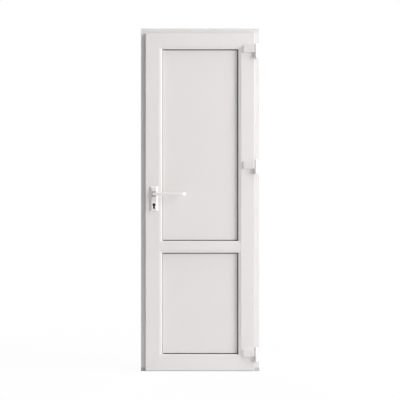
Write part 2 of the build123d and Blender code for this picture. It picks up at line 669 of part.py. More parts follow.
# Strike plate on the lock jamb, open in front of the jamb's two pockets
with BuildPart() as strike_plate:
    with BuildSketch(Plane.YZ.offset(STRIKE_X)):
        with Locations((LOCK_DEPTH, (LATCH_Z + BOLT_Z) / 2)):
            RectangleRounded(STRIKE_WIDTH, STRIKE_LENGTH, STRIKE_ROUND)
        with Locations((LOCK_DEPTH, LATCH_Z), (LOCK_DEPTH, BOLT_Z)):
            Rectangle(LATCH_THICKNESS + POCKET_MARGIN, LATCH_HEIGHT + POCKET_MARGIN, mode=Mode.SUBTRACT)
    extrude(amount=STRIKE_THICKNESS)
save(strike_plate.part, "strike_plate")
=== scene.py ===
# %% [markdown]
# # A white uPVC door
# The door is a three-sided frame on a metal threshold, with one leaf hung in it. Its solids come
# from the packed CAD model, so every plane and joint is already where it belongs. This lesson gives
# each solid its finish, remodels the beads, the hinge flags and the two levers in a finer form, adds
# the small hardware, and sets the door in plain studio light. We keep the box of the solids now,
# because the finished model has to stay inside it.

# %% Load the packed door
import math

import bmesh
import bpy
from mathutils import Matrix, Vector


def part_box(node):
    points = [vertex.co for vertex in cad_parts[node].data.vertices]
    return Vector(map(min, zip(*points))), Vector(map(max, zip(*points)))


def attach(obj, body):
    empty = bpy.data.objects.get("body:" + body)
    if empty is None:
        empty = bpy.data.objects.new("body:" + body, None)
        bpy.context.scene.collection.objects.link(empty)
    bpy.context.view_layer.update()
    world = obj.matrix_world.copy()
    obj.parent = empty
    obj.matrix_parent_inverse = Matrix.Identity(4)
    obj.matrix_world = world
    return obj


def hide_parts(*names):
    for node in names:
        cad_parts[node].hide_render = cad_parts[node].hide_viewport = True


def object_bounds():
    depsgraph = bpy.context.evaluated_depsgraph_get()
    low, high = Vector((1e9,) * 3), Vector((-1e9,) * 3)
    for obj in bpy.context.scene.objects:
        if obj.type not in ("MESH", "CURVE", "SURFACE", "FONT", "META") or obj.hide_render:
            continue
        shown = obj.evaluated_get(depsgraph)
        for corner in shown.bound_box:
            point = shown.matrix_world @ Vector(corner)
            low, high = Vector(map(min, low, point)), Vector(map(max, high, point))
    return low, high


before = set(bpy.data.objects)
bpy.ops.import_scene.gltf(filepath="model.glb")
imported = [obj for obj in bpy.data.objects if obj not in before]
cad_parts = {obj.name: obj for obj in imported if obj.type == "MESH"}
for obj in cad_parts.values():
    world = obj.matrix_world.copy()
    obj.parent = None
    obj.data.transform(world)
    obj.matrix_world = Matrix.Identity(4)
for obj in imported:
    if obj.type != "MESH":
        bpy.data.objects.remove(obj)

cad_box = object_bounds()
print(len(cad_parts), "solids, box from", [tuple(corner) for corner in cad_box])

# %% [markdown]
# ## Shader maths as plain expressions
# A material is a graph of nodes, and most of the small ones only add or multiply. Adding each of them
# by hand hides the idea, so one small class wraps a shader socket and gives it Python's operators:
# `1 - mask * 0.2` then adds the Math nodes by itself. Every other kind of node comes from the method
# `node`, which sets the node up first and then fills its sockets with numbers or with other wires.
# A Mix node keeps one set of sockets for each kind of value, so its colours are picked by number.

# %% One class for every wire
MIX_FACTOR, MIX_FIRST, MIX_SECOND, MIX_RESULT = 0, 6, 7, 2


class Wire:
    """A shader socket that can be used in a Python expression."""

    def __init__(self, tree, socket=None):
        self.tree = tree
        self.socket = socket

    def node(self, kind, settings=None, sockets=None, output=0):
        made = self.tree.nodes.new(kind)
        for name, value in (settings or {}).items():
            setattr(made, name, value)
        for key, value in (sockets or {}).items():
            if isinstance(value, Wire):
                self.tree.links.new(value.socket, made.inputs[key])
            else:
                made.inputs[key].default_value = value
        return Wire(self.tree, made.outputs[output] if made.outputs else None)

    def math(self, operation, first, second=0.0):
        return self.node("ShaderNodeMath", {"operation": operation}, {0: first, 1: second})

    def __add__(self, other):
        return self.math("ADD", self, other)

    def __sub__(self, other):
        return self.math("SUBTRACT", self, other)

    def __rsub__(self, other):
        return self.math("SUBTRACT", other, self)

    def __mul__(self, other):
        return self.math("MULTIPLY", self, other)

    def __abs__(self):
        return self.math("ABSOLUTE", self)

    __radd__ = __add__
    __rmul__ = __mul__

    def smaller(self, other):
        return self.math("MINIMUM", self, other)

    def step(self, low, high):
        """0 below low, 1 above high, smooth between; low may be the larger one."""
        settings = {"interpolation_type": "SMOOTHSTEP"}
        sockets = {"Value": self, "From Min": low, "From Max": high}
        return self.node("ShaderNodeMapRange", settings, sockets)

    def mixed(self, first, second):
        """Two colours mixed by this wire."""
        sockets = {MIX_FACTOR: self, MIX_FIRST: first, MIX_SECOND: second}
        return self.node("ShaderNodeMix", {"data_type": "RGBA"}, sockets, output=MIX_RESULT)


print("a wire also has", [name for name in vars(Wire) if not name.startswith("__")])

# %% [markdown]
# ## Textures that every finish shares
# All the finishes here are built on the object's own coordinates, in metres. A CAD node's object sits
# at the origin, so these coordinates are the door's own: a point's height in the door is simply Z.
# `noise` gives a cloud of values from 0 to 1, with a scale in features a metre, and `streaks` is the
# same cloud pulled out along one axis, as drawn and brushed surfaces have it. `surface` turns colour,
# roughness and height into the final shader. The relief of these finishes is far too fine for a mesh:
# some hundredths of a millimetre, which a Bump node gives.

# %% Noise on the door's own coordinates
def object_place(start):
    return start.node("ShaderNodeTexCoord", output="Object")


def axes_of(place):
    return [place.node("ShaderNodeSeparateXYZ", {}, {"Vector": place}, axis) for axis in "XYZ"]


def noise(place, scale, detail=2.0, roughness=0.5):
    sockets = {"Vector": place, "Scale": scale, "Detail": detail, "Roughness": roughness}
    return place.node("ShaderNodeTexNoise", {}, sockets)


def streaks(place, along, across, stretch, detail=2.0):
    """Noise with this many features a metre across the drawn lines, and fewer along them."""
    scale = [across / stretch if axis == along else across for axis in "XYZ"]
    drawn = place.node("ShaderNodeMapping", {}, {"Vector": place, "Scale": scale})
    return noise(drawn, 1.0, detail)


print("the coordinates span", [round(far - near, 3) for near, far in zip(*cad_box)], "m")

# %% From wires to a finish
FINE_RELIEF, SOFT_RELIEF = 0.00003, 0.00004


def new_finish(name):
    material = bpy.data.materials.new(name)
    material.use_nodes = True
    material.node_tree.nodes.clear()
    return material, Wire(material.node_tree)


def surface(material, start, constants, **varying):
    sockets = {name.replace("_", " "): wire for name, wire in varying.items()}
    shader = start.node("ShaderNodeBsdfPrincipled", {}, {**constants, **sockets})
    start.node("ShaderNodeOutputMaterial", {}, {"Surface": shader})
    return material


def bump(height, depth):
    sockets = {"Strength": 1.0, "Distance": depth, "Height": height}
    return height.node("ShaderNodeBump", {}, sockets)


def paint(material, *nodes):
    for node in nodes:
        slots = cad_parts[node].data.materials
        slots.clear()
        slots.append(material)
    print(f"{material.name}: {len(nodes)} solids")


# %% [markdown]
# ## White uPVC profile
# The frame, the leaf and the beads are white plastic lengths drawn through a die. They carry very fine
# lines along their length, a satin sheen that is a little uneven, and at each corner a thin cleaned
# seam where two mitred lengths were welded. The seam runs where the distance to the side equals the
# distance to the top, so it can be worked out from the coordinates alone and needs no extra mesh. The
# drawn lines differ for upright and level lengths, which is why the function takes the axis of
# drawing. The frame's outer faces go against the wall: they are duller, and they are darkened in uneven
# patches as painted shade, so that light from the side doesn't make them glare. They have two shallow
# grooves for fixing clips, painted darker still as painted shade in a recess. A mask of the outermost
# millimetre gives them a finish of their own. Seams and grooves sink by a few times the relief of the
# lines.

# %% Seams, wall faces and grooves from coordinates
SEAM_WIDTH = 0.0016
WALL_EDGE = 0.0009
GROOVE_OFFSET, GROOVE_HALF_WIDTH = 0.018, 0.0022


def mitre_seam(place, half_width, middle, half_height):
    """1 on the corner lines of a rectangle that stands about X = 0, and 0 away from them."""
    x, _, z = axes_of(place)
    to_side = half_width - abs(x)
    to_end = half_height - abs(z - middle)
    return abs(to_side - to_end).step(SEAM_WIDTH, SEAM_WIDTH / 4)


def wall_side(place, half_width, top):
    """1 on the outermost skin of the sides and of the top, and 0 inside it."""
    x, _, z = axes_of(place)
    inner = abs(x).step(half_width, half_width - WALL_EDGE) * z.step(top, top - WALL_EDGE)
    return 1.0 - inner


def clip_grooves(place):
    """1 along two lines, one in front of the middle of the depth and one behind it."""
    depth = axes_of(place)[1]
    return abs(abs(depth) - GROOVE_OFFSET).step(GROOVE_HALF_WIDTH, GROOVE_HALF_WIDTH * 0.6)


print("seams", SEAM_WIDTH * 1000, "mm to each side, grooves", GROOVE_HALF_WIDTH * 2000, "mm wide")

# %% A finish for drawn and welded profile
WHITE = (0.812, 0.792, 0.780, 1.0)
WHITE_WORN = (0.765, 0.742, 0.722, 1.0)
SEAM_TONE = (0.700, 0.684, 0.668, 1.0)
WALL_PAINTED_SHADE = (0.560, 0.546, 0.528, 1.0)
GROOVE_PAINTED_SHADE = (0.330, 0.322, 0.312, 1.0)
DRAWN_LINES, LINE_STRETCH = 900.0, 260.0
CLOUDS, HANDLING, SHADE_PATCHES, GRAIN = 2.3, 9.0, 14.0, 1400.0
SEAM_SINK, GROOVE_SINK = 6.0, 20.0


def drawn_upvc(name, along, mitre=None, wall=None):
    material, start = new_finish(name)
    place = object_place(start)
    clouds = noise(place, CLOUDS, 3.0, 0.6)
    lines = streaks(place, along, DRAWN_LINES, LINE_STRETCH)
    handled = noise(place, HANDLING, 4.0, 0.62).step(0.56, 0.86) * 0.16
    tone = (clouds.step(0.35, 0.75) * 0.10 + lines * 0.07 + handled).mixed(WHITE, WHITE_WORN)
    gloss = 0.30 + clouds * 0.05 + lines * 0.10 + handled * 0.5
    height = lines * 0.7 + noise(place, GRAIN) * 0.3
    if mitre:
        seam = mitre_seam(place, *mitre)
        tone = (seam * 0.55).mixed(tone, SEAM_TONE)
        gloss = gloss + seam * 0.15
        height = height - seam * SEAM_SINK
    if wall:
        # Painted shade: the wall faces darken in uneven patches, and their clip grooves darker still.
        shaded_wall_skin = wall_side(place, *wall)
        shaded_groove = shaded_wall_skin * clip_grooves(place)
        painted_shade_patches = noise(place, SHADE_PATCHES, 4.0, 0.6).step(0.25, 0.7) * 0.45 + 0.55
        tone = shaded_groove.mixed((shaded_wall_skin * painted_shade_patches).mixed(tone, WALL_PAINTED_SHADE), GROOVE_PAINTED_SHADE)
        gloss = gloss + shaded_wall_skin * 0.25
        height = height - shaded_groove * GROOVE_SINK
    return surface(
        material, start, {"Specular IOR Level": 0.42},
        Base_Color=tone, Roughness=gloss, Normal=bump(height, FINE_RELIEF),
    )


print("drawn lines are", round(1000 / DRAWN_LINES, 2), "mm apart")

# %% [markdown]
# ### Which length is drawn which way
# Jambs, stiles and side beads stand upright; the head, the rails and the other beads lie level. Each
# group of corners has its own rectangle. The frame has welded corners only at its top, which we get
# from a rectangle that reaches as far below the floor as above it. The sizes are read from the solids,
# so the seams stay on the corners if the door is built in another size.

# %% Paint frame, leaf and beads
def rectangle_round(*nodes):
    boxes = [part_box(node) for node in nodes]
    low = min(box[0].z for box in boxes)
    high = max(box[1].z for box in boxes)
    side = max(box[1].x for box in boxes)
    return side, (low + high) / 2, (high - low) / 2


frame_side, frame_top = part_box("frame_head")[1].x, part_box("frame_head")[1].z
frame_corners = (frame_side, 0.0, frame_top)
frame_wall = (frame_side, frame_top)
frame_upright = drawn_upvc("upvc_frame_upright", "Z", frame_corners, frame_wall)
paint(frame_upright, "frame_lock_jamb", "frame_hinge_jamb")
paint(drawn_upvc("upvc_frame_level", "X", frame_corners, frame_wall), "frame_head")

leaf_corners = rectangle_round("leaf_lock_stile", "leaf_hinge_stile")
paint(drawn_upvc("upvc_leaf_upright", "Z", leaf_corners), "leaf_lock_stile", "leaf_hinge_stile")
paint(drawn_upvc("upvc_leaf_level", "X", leaf_corners), "leaf_top_rail", "leaf_bottom_rail")
paint(drawn_upvc("upvc_mid_rail", "X"), "leaf_mid_rail")

bead_finish = {}
for part in ("upper", "lower"):
    beads = {side: f"{part}_bead_{side}" for side in ("top", "bottom", "left", "right")}
    corners = rectangle_round(*beads.values())
    upright = drawn_upvc(f"upvc_{part}_bead_upright", "Z", corners)
    level = drawn_upvc(f"upvc_{part}_bead_level", "X", corners)
    paint(upright, beads["left"], beads["right"])
    paint(level, beads["top"], beads["bottom"])
    bead_finish |= {beads["left"]: upright, beads["right"]: upright}
    bead_finish |= {beads["top"]: level, beads["bottom"]: level}

# %% [markdown]
# ## Panel skin
# The two panels are flat boards with a rolled plastic skin. A rolled skin has no die lines; it has a
# faint, slow waviness like the skin of an orange, seen only where light grazes it, and a slightly
# closer sheen than the profiles. Two sizes of noise give the waves and a fine tooth.

# %% Rolled panel finish
PANEL_WHITE = (0.806, 0.784, 0.772, 1.0)
PANEL_SHADE = (0.770, 0.744, 0.724, 1.0)
PANEL_CLOUDS, PANEL_WAVES, PANEL_TOOTH = 1.7, 85.0, 1800.0

panel_skin, start = new_finish("panel_skin")
place = object_place(start)
clouds = noise(place, PANEL_CLOUDS, 3.0, 0.6)
waves = noise(place, PANEL_WAVES)
tooth = noise(place, PANEL_TOOTH, 1.0)
tone = (clouds.step(0.3, 0.75) * 0.28 + waves * 0.08).mixed(PANEL_WHITE, PANEL_SHADE)
surface(
    panel_skin, start, {"Specular IOR Level": 0.45},
    Base_Color=tone, Roughness=0.26 + clouds * 0.08 + tooth * 0.06,
    Normal=bump(waves * 0.85 + tooth * 0.15, FINE_RELIEF),
)
paint(panel_skin, "upper_panel", "lower_panel")

# %% [markdown]
# ## White coated metal
# Hinges, handle plates and levers are metal with a baked white coating. Sprayed powder flows out into
# small soft pebbles and leaves a thin clear gloss, so this white is a little smoother than the
# plastic, with a coat on top. Hands rub the levers, so a few broad patches are polished smoother.
# The hinges get a lighter copy of the same coat as painted light. It makes up for the shade on their
# sloped flags and round knuckles, so one function makes both coats from two tones each.

# %% Baked coating
COAT_WHITE = (0.838, 0.818, 0.805, 1.0)
COAT_SHADE = (0.795, 0.772, 0.756, 1.0)
# The hinge tones are lighter than the handle's: painted light against the shade on flags and knuckles.
HINGE_WHITE_PAINTED_LIGHT = (0.925, 0.905, 0.892, 1.0)
HINGE_SHADE_PAINTED_LIGHT = (0.890, 0.868, 0.852, 1.0)
RUBBED_PATCHES, PEBBLES = 26.0, 620.0


def baked_coat(name, light, shade):
    material, start = new_finish(name)
    place = object_place(start)
    pebbles = noise(place, PEBBLES)
    rubbed = noise(place, RUBBED_PATCHES, 3.0).step(0.45, 0.7)
    tone = (pebbles * 0.12 + rubbed * 0.12).mixed(light, shade)
    return surface(
        material, start, {"Coat Weight": 0.12, "Coat Roughness": 0.12, "Specular IOR Level": 0.36},
        Base_Color=tone, Roughness=0.34 - rubbed * 0.10 + pebbles * 0.06,
        Normal=bump(pebbles, SOFT_RELIEF),
    )


handle_coat = baked_coat("handle_coat", COAT_WHITE, COAT_SHADE)
paint(handle_coat, "handle_plate_front", "handle_plate_rear")
hinge_coat_painted_light = baked_coat("hinge_coat_painted_light", HINGE_WHITE_PAINTED_LIGHT, HINGE_SHADE_PAINTED_LIGHT)
hinges = ("top", "middle", "bottom")
paint(hinge_coat_painted_light, *[f"hinge_{half}_{at}" for half in ("flag", "base") for at in hinges])

# %% [markdown]
# ## Black rubber
# Gaskets and lip seals are extruded rubber: almost black, matt, with a dusty grey bloom in patches.
# Rubber black is never zero, so the darkest tone stays a little above it. Along the lock side the
# panels' gasket hardly shows, because the light from the right reaches into its groove there. That
# light is painted into the rubber as a pale grey, which comes in by a smooth step over X. The seals
# get no such painted light and stay black, which makes this one function with a switch.

# %% Gasket rubber, black, with painted light along the lock side
RUBBER_BLACK = (0.008, 0.008, 0.009, 1.0)
RUBBER_BLOOM = (0.026, 0.025, 0.024, 1.0)
RUBBER_PAINTED_LIGHT = (0.430, 0.418, 0.404, 1.0)
BLOOM, RUBBER_GRAIN = 30.0, 2400.0
PAINTED_LIGHT_REACH, PAINTED_LIGHT_FADE = 0.024, 0.012


def rubber(name, painted_light_up_to=None):
    material, start = new_finish(name)
    place = object_place(start)
    bloom = noise(place, BLOOM, 4.0, 0.6)
    grain = noise(place, RUBBER_GRAIN)
    tone = (bloom.step(0.4, 0.8) * 0.6 + grain * 0.2).mixed(RUBBER_BLACK, RUBBER_BLOOM)
    if painted_light_up_to is not None:
        # Towards the lock side the rubber turns pale grey: painted light where light from the right
        # reaches the groove.
        lit_lock_end = axes_of(place)[0].step(painted_light_up_to, painted_light_up_to - PAINTED_LIGHT_FADE)
        tone = (lit_lock_end * (0.8 + bloom * 0.3)).mixed(tone, RUBBER_PAINTED_LIGHT)
    return surface(
        material, start, {"Specular IOR Level": 0.10},
        Base_Color=tone, Roughness=0.55 + bloom * 0.25, Normal=bump(grain, SOFT_RELIEF),
    )


gasket_rubber = rubber("gasket_rubber")
paint(gasket_rubber, "frame_seal", "leaf_seal")
gaskets = [f"{part}_panel_{face}_gasket"
           for part in ("upper", "lower") for face in ("front", "rear")]
lock_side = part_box(gaskets[0])[0].x
paint(rubber("panel_gasket_rubber_painted_light", lock_side + PAINTED_LIGHT_REACH), *gaskets)

# %% [markdown]
# ## Metals
# The threshold is anodised aluminium, drawn along its length; its dull oxide skin hardly mirrors, so it
# is written as barely metallic. Strike plate, faceplate, latch, pins and spindle are zinc-plated steel,
# brushed along their height and cloudy from the bath. The cylinder is darker and drawn along its own
# axis. One function serves all three, because they differ only in colour, in the direction of their
# lines and in gloss.

# %% Drawn and plated metal
ANODISED_LIGHT, ANODISED_DARK = (0.59, 0.59, 0.60, 1.0), (0.43, 0.43, 0.44, 1.0)
STEEL_LIGHT, STEEL_DARK = (0.56, 0.56, 0.57, 1.0), (0.34, 0.34, 0.35, 1.0)
CYLINDER_LIGHT, CYLINDER_DARK = (0.032, 0.031, 0.030, 1.0), (0.013, 0.013, 0.013, 1.0)
METAL_LINES, METAL_STRETCH = 1600.0, 120.0
SCRATCHES, SCRATCH_STRETCH = 210.0, 9.0
BATH_CLOUDS = 38.0


def lined_metal(name, light, dark, along, gloss, metal=1.0):
    material, start = new_finish(name)
    place = object_place(start)
    lines = streaks(place, along, METAL_LINES, METAL_STRETCH, 3.0)
    clouds = noise(place, BATH_CLOUDS, 4.0, 0.6)
    marks = streaks(place, along, SCRATCHES, SCRATCH_STRETCH, 4.0).step(0.62, 0.78)
    worn = lines * 0.35 + clouds.step(0.35, 0.7) * 0.35 + marks * 0.25
    return surface(
        material, start, {"Metallic": metal, "Specular IOR Level": 0.3},
        Base_Color=worn.mixed(light, dark),
        Roughness=gloss + lines * 0.16 + clouds * 0.08 + marks * 0.08,
        Normal=bump(lines, FINE_RELIEF),
    )


anodised = lined_metal("anodised_threshold", ANODISED_LIGHT, ANODISED_DARK, "X", 0.50, metal=0.06)
plated_steel = lined_metal("plated_steel", STEEL_LIGHT, STEEL_DARK, "Z", 0.28)
cylinder_metal = lined_metal("cylinder_metal", CYLINDER_LIGHT, CYLINDER_DARK, "Y", 0.34)
pins = [f"hinge_pin_{at}" for at in hinges]
paint(anodised, "threshold")
paint(plated_steel, "strike_plate", "lock_faceplate", "latch_bolt", "spindle", *pins)
paint(cylinder_metal, "lock_cylinder")

# %% [markdown]
# ## Pieces that ride on the door
# The beads, the hinge flags, the levers and the small hardware are modelled here. Every new piece is a
# mesh whose object sits at the origin, and it rides on one body of the door: the frame, the leaf or the
# handle. A few tools come first. They pick one kind of element, extrude faces along a vector, round
# edges or corners, slice along a plane, spin a line into a turned shape, and set a flat shape upright.
# An extrusion keeps the faces that it starts from, which is right for the first cap of a shape and
# wrong inside one, so `drop_inner` takes those out. `new_piece` then merges the seams, turns the faces
# outwards, shades the shape smooth except at real corners, and hands it to its body.

# %% Tools that grow and round a bmesh
def only(kind, geometry):
    return [element for element in geometry if isinstance(element, kind)]


def drop_inner(shape, faces):
    """Delete faces that an extrusion has left inside a closed shape."""
    if any(len(edge.link_faces) > 2 for face in faces for edge in face.edges):
        bmesh.ops.delete(shape, geom=faces, context="FACES")


def push(shape, faces, way):
    """Extrude faces along a vector and give back the new end."""
    grown = bmesh.ops.extrude_face_region(shape, geom=faces)["geom"]
    bmesh.ops.translate(shape, verts=only(bmesh.types.BMVert, grown), vec=way)
    drop_inner(shape, faces)
    return only(bmesh.types.BMFace, grown)


def soften(shape, geometry, offset, segments=5, affect="EDGES"):
    bmesh.ops.bevel(shape, geom=geometry, affect=affect, offset=offset, segments=segments,
                    profile=0.5, material=-1)


print("tools:", [tool.__name__ for tool in (only, drop_inner, push, soften)])

# %% Tools that cut, turn and set a bmesh
QUARTER = math.radians(90.0)
TURN_STEPS = 56
ON_PLANE = 1e-7


def slice_through(shape, at, normal, **options):
    """Cut along a plane and give back what lies on the cut."""
    everything = shape.verts[:] + shape.edges[:] + shape.faces[:]
    return bmesh.ops.bisect_plane(shape, geom=everything, dist=ON_PLANE, plane_co=at,
                                  plane_no=normal, **options)["geom_cut"]


def turned(shape, centre, axis, line):
    """Spin a line of (radius, place along the axis) points once round an axis."""
    side = Vector((1.0, 0.0, 0.0))
    verts = [shape.verts.new(centre + side * radius + axis * along) for radius, along in line]
    edges = [shape.edges.new(pair) for pair in zip(verts, verts[1:])]
    bmesh.ops.spin(shape, geom=verts + edges, cent=centre, axis=axis, angle=4 * QUARTER,
                   steps=TURN_STEPS, use_merge=True)


def face_out(shape, at, outward):
    """Set a shape that was drawn facing up at a place, facing the front (-1) or the rear (1)."""
    turn = Matrix.Rotation(-outward * QUARTER, 3, "X")
    bmesh.ops.rotate(shape, verts=shape.verts, cent=(0.0, 0.0, 0.0), matrix=turn)
    bmesh.ops.translate(shape, verts=shape.verts, vec=at)


print("turned shapes have", TURN_STEPS, "sides")

# %% From a bmesh to a piece
SHARP_ANGLE = math.radians(38.0)
MERGE_DISTANCE = 1e-6


def new_piece(name, shape, body, material):
    bmesh.ops.remove_doubles(shape, verts=shape.verts, dist=MERGE_DISTANCE)
    bmesh.ops.recalc_face_normals(shape, faces=shape.faces)
    mesh = bpy.data.meshes.new(name)
    shape.to_mesh(mesh)
    shape.free()
    mesh.materials.append(material)
    mesh.shade_smooth()
    mesh.set_sharp_from_angle(angle=SHARP_ANGLE)
    piece = bpy.data.objects.new(name, mesh)
    bpy.context.collection.objects.link(piece)
    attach(piece, body)
    print(name, "on", body, "with", len(mesh.polygons), "faces")
    return piece


print("edges stay sharp above", round(math.degrees(SHARP_ANGLE)), "degrees")

# %% [markdown]
# ## Glazing beads
# A bead is the snap-in length that presses the panel against its gasket. The solid has one flat slope;
# a real bead falls only a little at first and then rounds over into a steep foot, and that shoulder is
# what catches the light. We draw the section with five points, round two of them, extrude it over the
# bead's length and cut both ends along 45-degree planes, so that four beads meet in mitres. The section
# lives in (inward, depth, along), and one matrix turns that into the door's axes.

# %% Rounded beads with mitred ends
SHOULDER = (0.0139, 0.0037)
FOOT_DEPTH = 0.0135
EDGE_ROUND, EDGE_STEPS = 0.0008, 3
SHOULDER_ROUND, SHOULDER_STEPS = 0.0026, 9
INWARD = {"left": (1, 0, 0), "right": (-1, 0, 0), "top": (0, 0, -1), "bottom": (0, 0, 1)}


def bead(node):
    low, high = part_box(node)
    inward = Vector(INWARD[node.split("_")[-1]])
    along = Vector((abs(inward.z), 0.0, abs(inward.x)))
    wide = abs((high - low).dot(inward))
    length = (high - low).dot(along)
    deep = high.y - low.y
    shape = bmesh.new()
    points = [(0.0, 0.0), SHOULDER, (wide, FOOT_DEPTH), (wide, deep), (0.0, deep)]
    outline = [shape.verts.new((across, depth, 0.0)) for across, depth in points]
    shape.faces.new(outline)
    soften(shape, [outline[0]], EDGE_ROUND, EDGE_STEPS, "VERTICES")
    soften(shape, [outline[1]], SHOULDER_ROUND, SHOULDER_STEPS, "VERTICES")
    push(shape, shape.faces[:], (0.0, 0.0, length))
    for end, slope in ((0.0, -1.0), (length, 1.0)):
        cut = slice_through(shape, (0.0, 0.0, end), (1.0, 0.0, slope), clear_outer=True)
        bmesh.ops.contextual_create(shape, geom=only(bmesh.types.BMEdge, cut))
    corner = Vector((low.x, low.y, low.z))
    if inward.x < 0:
        corner.x = high.x
    if inward.z < 0:
        corner.z = high.z
    turn = Matrix((inward, (0.0, 1.0, 0.0), along)).transposed().to_4x4()
    bmesh.ops.transform(shape, matrix=Matrix.Translation(corner) @ turn, verts=shape.verts)
    piece = new_piece(f"{node}_rounded", shape, "leaf", bead_finish[node])
    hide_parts(node)


for node in bead_finish:
    bead(node)

# %% [markdown]
# ## Hinge flags
# The leaf's half of a hinge is a cast flag that rises from a thin bevelled toe and runs flush into its
# knuckle, so that nothing stands up sharply from the stile. Its top edge climbs to the knuckle's top as
# well. The solid shows it as a block with a bevelled end; here the outline is drawn in plan, extruded
# upwards, raked by lifting the top points and rounded along its front. The knuckle is turned, with its
# bore left open for the pin.

# %% Flags that run into their knuckles
FLAG_HEIGHT, FLAG_RAKE = 0.039, 0.14
FLAG_ROUND, FLAG_STEPS = 0.0011, 3
BARREL, BORE, BARREL_CAP, BARREL_RIM = 0.009, 0.0053, 0.004, 0.0015
BARREL_WALL = 0.0065
FLAG_FOOT = ((0.0, 0.0), (0.0, 0.0008), (0.0020, 0.0014))
FLAG_FRONT = ((0.0110, 0.0086), (0.0500, 0.0148), (0.0698, 0.0189))
NEAR = 1e-5


def knuckle_line(low, high):
    """Half the section of a knuckle: a capped bore inside, a rounded rim at the top."""
    roof = high - BARREL_CAP
    rim = [(BARREL, high - BARREL_RIM), (BARREL - BARREL_RIM / 3, high - BARREL_RIM / 3)]
    inside = [(0.0, roof), (BORE, roof), (BORE, low), (BARREL, low)]
    return inside + rim + [(BARREL - BARREL_RIM, high), (0.0, high)]


def hinge_flag(node):
    low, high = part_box(node)
    pin = Vector((high.x - BARREL, low.y + BARREL, 0.0))
    shape = bmesh.new()
    plan = [(low.x + across, high.y - rise) for across, rise in FLAG_FOOT + FLAG_FRONT]
    buried = plan[-1][0]
    plan += [(pin.x - BARREL_WALL, pin.y + BORE), (pin.x - BARREL, high.y)]
    foot = shape.faces.new([shape.verts.new((x, y, low.z)) for x, y in plan])
    for vert in push(shape, [foot], (0.0, 0.0, FLAG_HEIGHT))[0].verts:
        vert.co.z += (vert.co.x - low.x) * FLAG_RAKE
    back = min(high.y, pin.y + BORE) - NEAR
    front = [edge for edge in shape.edges if all(vert.co.y < back for vert in edge.verts)]
    shown = [edge for edge in front if any(abs(vert.co.x - buried) >= NEAR for vert in edge.verts)]
    soften(shape, shown, FLAG_ROUND, FLAG_STEPS)
    turned(shape, pin, Vector((0.0, 0.0, 1.0)), knuckle_line(low.z, high.z))
    piece = new_piece(f"{node}_cast", shape, "leaf", hinge_coat_painted_light)
    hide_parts(node)


for at in hinges:
    hinge_flag(f"hinge_flag_{at}")

# %% [markdown]
# ## Levers
# A lever is a cast bar on a round neck. It runs level to the side and turns back towards the leaf at
# its tip, so that a sleeve can't catch on it. The solid has flat-sided edges to keep it light; here the
# same path gets a rounded section. We start from one square, round its corners, and let two tools do
# the rest: extrude for the straight runs and spin for the bend. The neck is turned: a line of a few
# points, spun once round its axis. All places are read from the box of the solid that the lever stands
# for.

# %% Bend the bar along its path
LEVER_THICKNESS, LEVER_DEPTH = 0.012, 0.018
LEVER_ROUND, LEVER_STEPS = 0.0042, 7
HEEL_ROUND, TIP_ROUND = 0.0040, 0.0030
TIP_BEND, BEND_STEPS, TIP_RETURN = 0.018, 16, 0.007
UPRIGHT_SECTION = Matrix(((0, 0, 1), (1, 0, 0), (0, 1, 0)))


def lever_bar(shape, heel, tip_x, outward):
    """The bar from its flat heel to its returned tip, in the plane at the heel's height."""
    bmesh.ops.create_grid(shape, x_segments=1, y_segments=1, size=0.5)
    bmesh.ops.scale(shape, verts=shape.verts, vec=(LEVER_THICKNESS, LEVER_DEPTH, 1.0))
    bmesh.ops.rotate(shape, verts=shape.verts, cent=(0.0, 0.0, 0.0), matrix=UPRIGHT_SECTION)
    bmesh.ops.translate(shape, verts=shape.verts, vec=heel)
    soften(shape, shape.verts[:], LEVER_ROUND, LEVER_STEPS, "VERTICES")
    centre = Vector((tip_x - TIP_BEND, heel.y - outward * TIP_BEND, heel.z))
    end = push(shape, shape.faces[:], (centre.x - heel.x, 0.0, 0.0))
    bend = bmesh.ops.spin(shape, geom=end, cent=centre, axis=(0.0, 0.0, 1.0),
                          angle=-outward * QUARTER, steps=BEND_STEPS)
    drop_inner(shape, end)
    end = only(bmesh.types.BMFace, bend["geom_last"])
    end = push(shape, end, (0.0, -outward * TIP_RETURN, 0.0))
    soften(shape, end[0].edges[:], TIP_ROUND)
    at_heel = {vert for vert in shape.verts if abs(vert.co.x - heel.x) < MERGE_DISTANCE}
    soften(shape, [edge for edge in shape.edges if at_heel.issuperset(edge.verts)], HEEL_ROUND)


print("the bar is", LEVER_DEPTH * 1000, "x", LEVER_THICKNESS * 1000, "mm thick")

# %% Turn the neck and set both levers
NECK_RADIUS = 0.008
NECK_FLARE = 0.0026
NECK_CURVE = ((0.0, 3), (0.03, 2), (0.15, 1), (0.36, 0))
RIM_ROUND = 0.0006


def collar_of(node, outward):
    """The radius of a lever's journal, and the point where its axis leaves the plate's collar."""
    low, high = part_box(node)
    plate_low, plate_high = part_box(node.replace("lever", "handle_plate"))
    journal = (high.z - low.z) / 2
    rim = plate_low.y if outward < 0 else plate_high.y
    return journal, Vector((low.x + journal, rim, (low.z + high.z) / 2))


def neck_line(journal, root, rim, bar_y, outward):
    """Half the section of a neck, from its root in the plate to the middle of the bar."""
    inner = bar_y - outward * LEVER_THICKNESS / 2
    step = outward * RIM_ROUND
    line = [(0.0, root), (journal, root), (journal, rim - step), (journal - RIM_ROUND, rim)]
    line += [(NECK_RADIUS + RIM_ROUND, rim), (NECK_RADIUS, rim + step)]
    for rise, back in NECK_CURVE:
        line.append((NECK_RADIUS + rise * NECK_FLARE, inner - outward * back * NECK_FLARE))
    return line + [(0.0, bar_y)]


